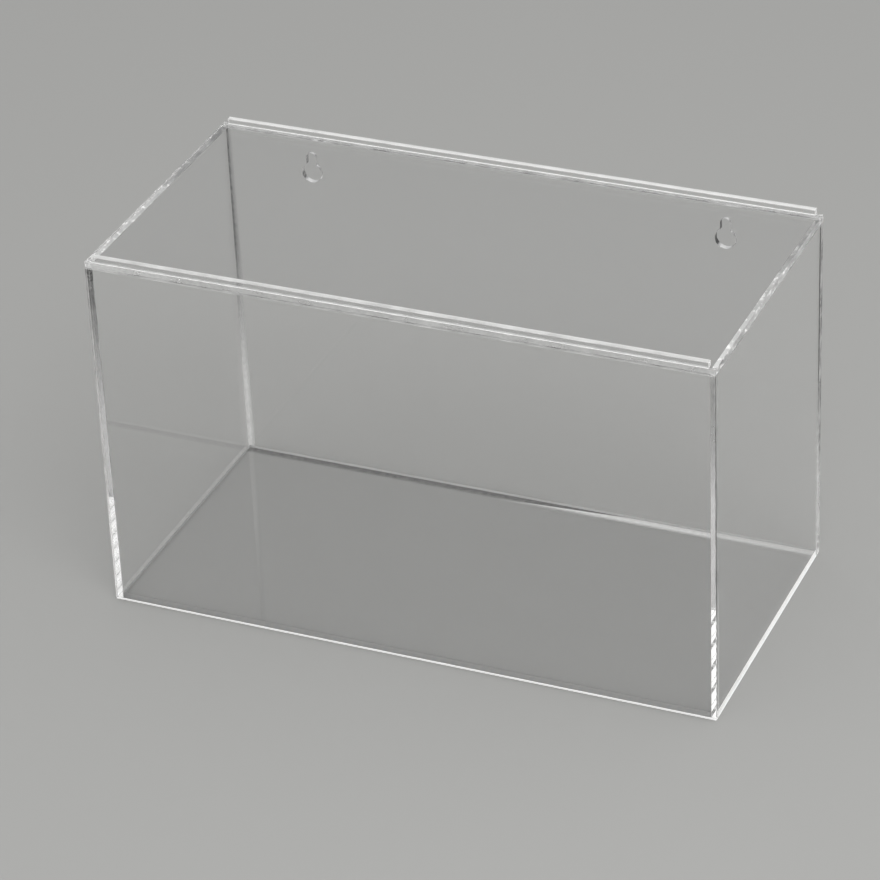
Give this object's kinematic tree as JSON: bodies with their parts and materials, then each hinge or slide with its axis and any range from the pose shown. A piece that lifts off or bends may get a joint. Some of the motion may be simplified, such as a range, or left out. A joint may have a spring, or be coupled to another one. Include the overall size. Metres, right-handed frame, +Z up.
{
  "type": "wall box with sliding lid",
  "caption": "Clear sheet box with keyholes in its back wall and a flat lid that slides lengthways under lip bars along its top.",
  "frame": {"origin": "middle of the underside of the box", "axes": "+X along the lid's travel and the box's length, +Y towards the wall that it hangs on, +Z up"},
  "size_m": [0.3, 0.148, 0.1843],
  "materials": {
    "clear_sheet": "colourless cast acrylic sheet, polished faces, saw-cut edges",
    "clear_strip": "colourless acrylic strip, cut edges that catch the light"
  },
  "bodies": {
    "box": {"base_panel": "clear_sheet", "front_panel": "clear_sheet", "back_panel": "clear_sheet", "left_side_panel": "clear_sheet", "right_side_panel": "clear_sheet", "front_spacer_strip": "clear_strip", "back_spacer_strip": "clear_strip", "front_lip_bar": "clear_strip", "back_lip_bar": "clear_strip"},
    "lid": {"sliding_lid": "clear_sheet"}
  },
  "joints": [
    {"name": "lid_slide", "type": "slide", "parent": "box", "child": "lid", "axis": [1, 0, 0], "range_m": [-0.27, 0.27]}
  ]
}
